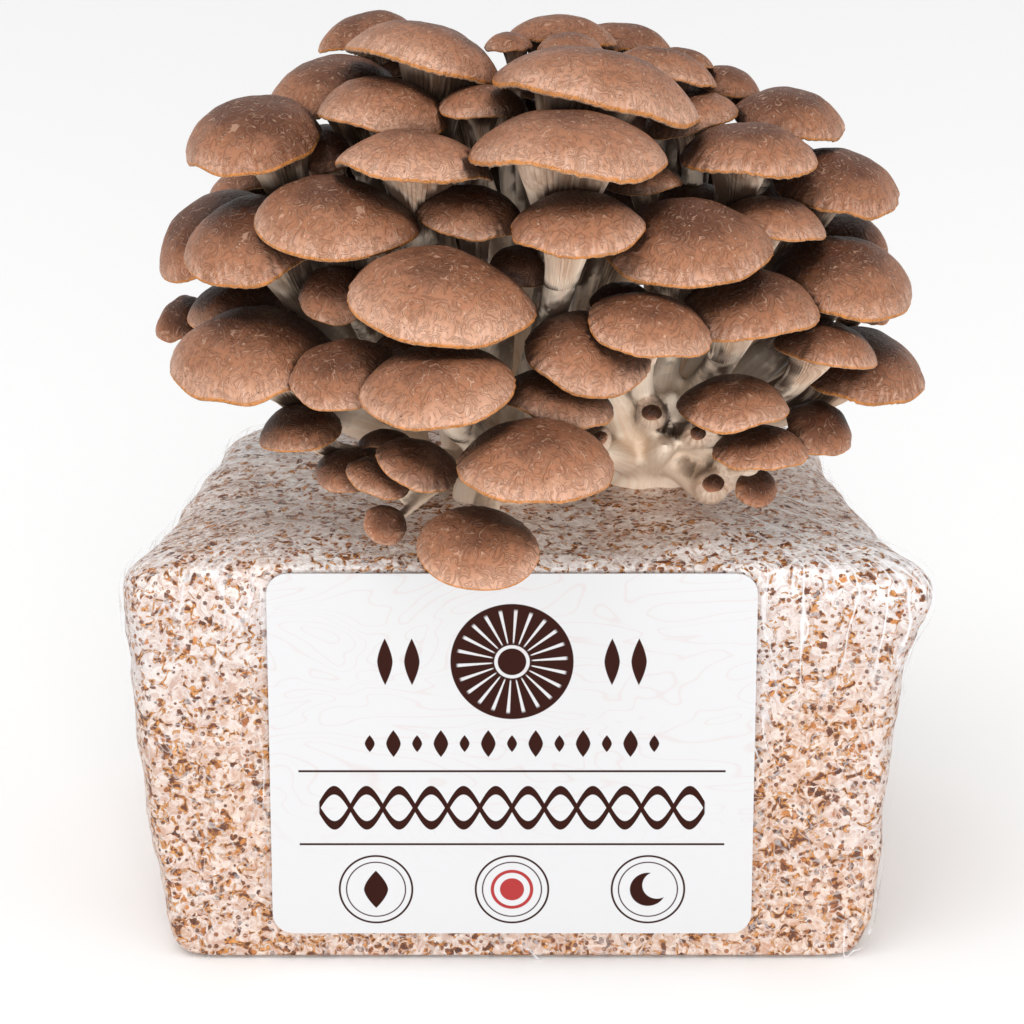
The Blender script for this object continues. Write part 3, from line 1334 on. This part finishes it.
right_corner = rays(0.030, 0.010, x.smooth_step(0.050, 0.072) * z.smooth_step(0.060, 0.100))
left_corner = rays(-0.030, 0.0, x.smooth_step(-0.050, -0.070) * z.smooth_step(0.075, 0.105)) * 0.7
streaks = worms(stretched(place, (1.0, 1.0, 0.5)), 64.0, 1.0, 0.016)
streaks *= noise_field(place, 30.0, 2.0).smooth_step(0.56, 0.68)
gathered = (ridges * 0.42 + creases * 0.5).smooth_step(0.30, 1.1)
lines = streaks.larger(right_corner).larger(left_corner)
clear = node(tree, "ShaderNodeBsdfTransparent", {}, {})
feed(
    tree, shader,
    base_color=(0.97, 0.98, 1.0, 1),
    roughness=0.12,
    normal=bumped(ripples, 2.0 * MM, 0.8),
)
sheen = gathered * 0.34 + lines * 0.62 + near_hole * 0.12 + 0.012
blend = node(tree, "ShaderNodeMixShader", {}, {0: sheen, 1: clear, 2: Field(tree, shader.outputs[0])})
output = tree.nodes["Material Output"]
tree.links.new(blend.socket, output.inputs["Surface"])
film.data.materials.append(clear_film)

# %% Label
LABEL_MIDDLE = 58.8
EDGE = 0.12
paper, tree, shader = finish("label_paper", 0.1)
place = node(tree, "ShaderNodeTexCoord", {}, {}, "Object")
millimetres = stretched(place, (1000.0, 1000.0, 1000.0))
across, _, tall = split(millimetres)
up = tall - LABEL_MIDDLE


def disc(x, y, radius):
    return (((across - x) ** 2 + (up - y) ** 2) ** 0.5).smooth_step(radius + EDGE, radius - EDGE)


def ring(x, y, radius, thickness):
    away = ((across - x) ** 2 + (up - y) ** 2) ** 0.5
    return abs(away - radius).smooth_step(thickness / 2 + EDGE, thickness / 2 - EDGE)


def bar(x, y, half_length, half_height):
    flat = abs(across - x).smooth_step(half_length + EDGE, half_length - EDGE)
    return flat * abs(up - y).smooth_step(half_height + EDGE, half_height - EDGE)


def leaf(x, y, half_length, half_width):
    """A pointed oval that stands upright."""
    bow = 1 - abs((up - y) / half_length) ** 1.6
    return (bow * half_width - abs(across - x)).smooth_step(-EDGE, EDGE)


def rosette(x, y, radius):
    """A spore print: a dark disc with pale lines where the gills stood."""
    turn = node(tree, "ShaderNodeMath", {"operation": "ARCTAN2"}, {0: up - y, 1: across - x})
    away = ((across - x) ** 2 + (up - y) ** 2) ** 0.5
    lines = (turn * 22).sine().smooth_step(0.60, 0.90)
    between = away.smooth_step(radius * 0.30, radius * 0.36) * away.smooth_step(radius * 0.92, radius * 0.86)
    return disc(x, y, radius) * (1 - lines * between) * (1 - ring(x, y, radius * 0.26, 0.9))


ink = rosette(0, 26.5, 16.0)
for leaf_x in (-33, -26, 26, 33):
    ink = ink.larger(leaf(leaf_x, 26.5, 6.5, 2.0))
for place_number in range(13):
    tall_one = place_number % 2
    ink = ink.larger(leaf((place_number - 6) * 6.2, 3.6, 3.8 if tall_one else 2.4, 1.9 if tall_one else 1.3))
for y_of_rule in (-4.2, -25.0):
    ink = ink.larger(bar(0, y_of_rule, 56, 0.30))
for phase in (0, math.pi):
    wave = (across * 0.37 + phase).sine() * 5.0 - 14.6
    strand = abs(up - wave).smooth_step(1.25 + EDGE, 1.25 - EDGE)
    ink = ink.larger(strand * abs(across).smooth_step(50.9, 50.5))
for ring_x in (-36, 0, 36):
    ink = ink.larger(ring(ring_x, -38.0, 9.6, 0.55)).larger(ring(ring_x, -38.0, 7.8, 0.35))
ink = ink.larger(leaf(-36, -38.0, 5.4, 3.2))
ink = ink.larger(disc(36, -38.0, 4.8) * (1 - disc(38.4, -36.8, 3.9)))
sun = disc(0, -38.0, 3.2).larger(ring(0, -38.0, 5.2, 0.9))

rows = noise_field(stretched(millimetres, (0.020, 1.0, 0.045)), 1.0, 2.0, 0.5, 0.6)
contours = abs((rows * 45.0).sine()).smooth_step(0.34, 0.0) * up.smooth_step(-40.0, 0.0)
colour = mix(contours * 0.26, (0.67, 0.67, 0.68, 1), (0.62, 0.47, 0.44, 1))
colour = mix(ink, colour, (0.030, 0.005, 0.002, 1))
colour = mix(sun, colour, (0.40, 0.04, 0.04, 1))
feed(tree, shader, base_color=colour, roughness=0.5)
label_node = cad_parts["label"]
label_node.data.materials.clear()
label_node.data.materials.append(paper)

# %% Floor and lights
bpy.ops.mesh.primitive_plane_add(size=8, location=(0, 0, 0))
floor = bpy.context.object
floor.name = "floor"
floor_finish, tree, shader = finish("floor_white")
feed(tree, shader, base_color=(1.0, 1.0, 1.0, 1), roughness=0.9)
floor.data.materials.append(floor_finish)

world = bpy.data.worlds.new("studio")
world.use_nodes = True
world.node_tree.nodes["Background"].inputs["Color"].default_value = (1, 1, 1, 1)
world.node_tree.nodes["Background"].inputs["Strength"].default_value = 0.80
bpy.context.scene.world = world


def soft_light(name, place, size, power):
    data = bpy.data.lights.new(name, "AREA")
    data.size = size
    data.energy = power
    light = bpy.data.objects.new(name, data)
    light.location = place
    light.rotation_euler = (VIEW_TARGET - Vector(place)).to_track_quat("-Z", "Y").to_euler()
    bpy.context.scene.collection.objects.link(light)


soft_light("front_light", (0.1, -1.5, 0.4), 0.5, 9)
soft_light("top_light", (-0.4, -0.5, 1.9), 1.2, 9)
bpy.context.scene.view_settings.view_transform = "Standard"

# %% Finish
for pattern in (large_cap, small_cap, funnel_pattern):
    bpy.data.objects.remove(pattern)
